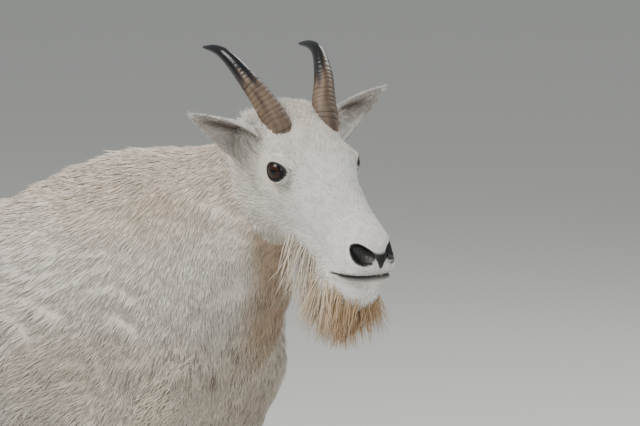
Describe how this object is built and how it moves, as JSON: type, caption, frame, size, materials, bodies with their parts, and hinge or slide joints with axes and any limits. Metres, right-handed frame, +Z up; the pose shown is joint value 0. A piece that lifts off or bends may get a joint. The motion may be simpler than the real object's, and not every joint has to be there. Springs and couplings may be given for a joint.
{
  "type": "mountain goat",
  "caption": "Life-size standing mountain goat in a short pale summer coat, with slim dark backswept horns, leaf-shaped ears, a beard, a shoulder hump and cloven hooves.",
  "frame": {"origin": "on the ground, under the middle of the object's bounding box", "axes": "+X the way the body faces, +Y the goat's left side, +Z up"},
  "size_m": [1.1936, 0.3338, 1.0708],
  "materials": {
    "coat": "warm white summer fur, peach along the back and grey brown low on the neck and shoulder",
    "beard_hair": "orange tan beard hair with cream edges",
    "ear_skin": "short beige fur with a white rim",
    "horn_sheath": "ringed grey brown keratin below, smooth blue black above",
    "hoof_horn": "dark keratin, slightly shiny",
    "eye": "wet dark brown eye"
  },
  "bodies": {
    "root": {"dewclaw_foreleg_left_inner": "hoof_horn", "dewclaw_foreleg_left_outer": "hoof_horn", "dewclaw_foreleg_right_inner": "hoof_horn", "dewclaw_foreleg_right_outer": "hoof_horn", "dewclaw_hindleg_left_inner": "hoof_horn", "dewclaw_hindleg_left_outer": "hoof_horn", "dewclaw_hindleg_right_inner": "hoof_horn", "dewclaw_hindleg_right_outer": "hoof_horn", "ear_left": "ear_skin", "ear_right": "ear_skin", "eye_left": "eye", "eye_right": "eye", "foreleg_left_lower": "coat", "foreleg_left_upper": "coat", "foreleg_right_lower": "coat", "foreleg_right_upper": "coat", "head": "coat", "hindleg_left_lower": "coat", "hindleg_left_upper": "coat", "hindleg_right_lower": "coat", "hindleg_right_upper": "coat", "hoof_foreleg_left_inner": "hoof_horn", "hoof_foreleg_left_outer": "hoof_horn", "hoof_foreleg_right_inner": "hoof_horn", "hoof_foreleg_right_outer": "hoof_horn", "hoof_hindleg_left_inner": "hoof_horn", "hoof_hindleg_left_outer": "hoof_horn", "hoof_hindleg_right_inner": "hoof_horn", "hoof_hindleg_right_outer": "hoof_horn", "horn_left": "horn_sheath", "horn_right": "horn_sheath", "lower_jaw": "beard_hair", "neck": "coat", "tail": "coat", "torso": "coat"}
  },
  "joints": []
}
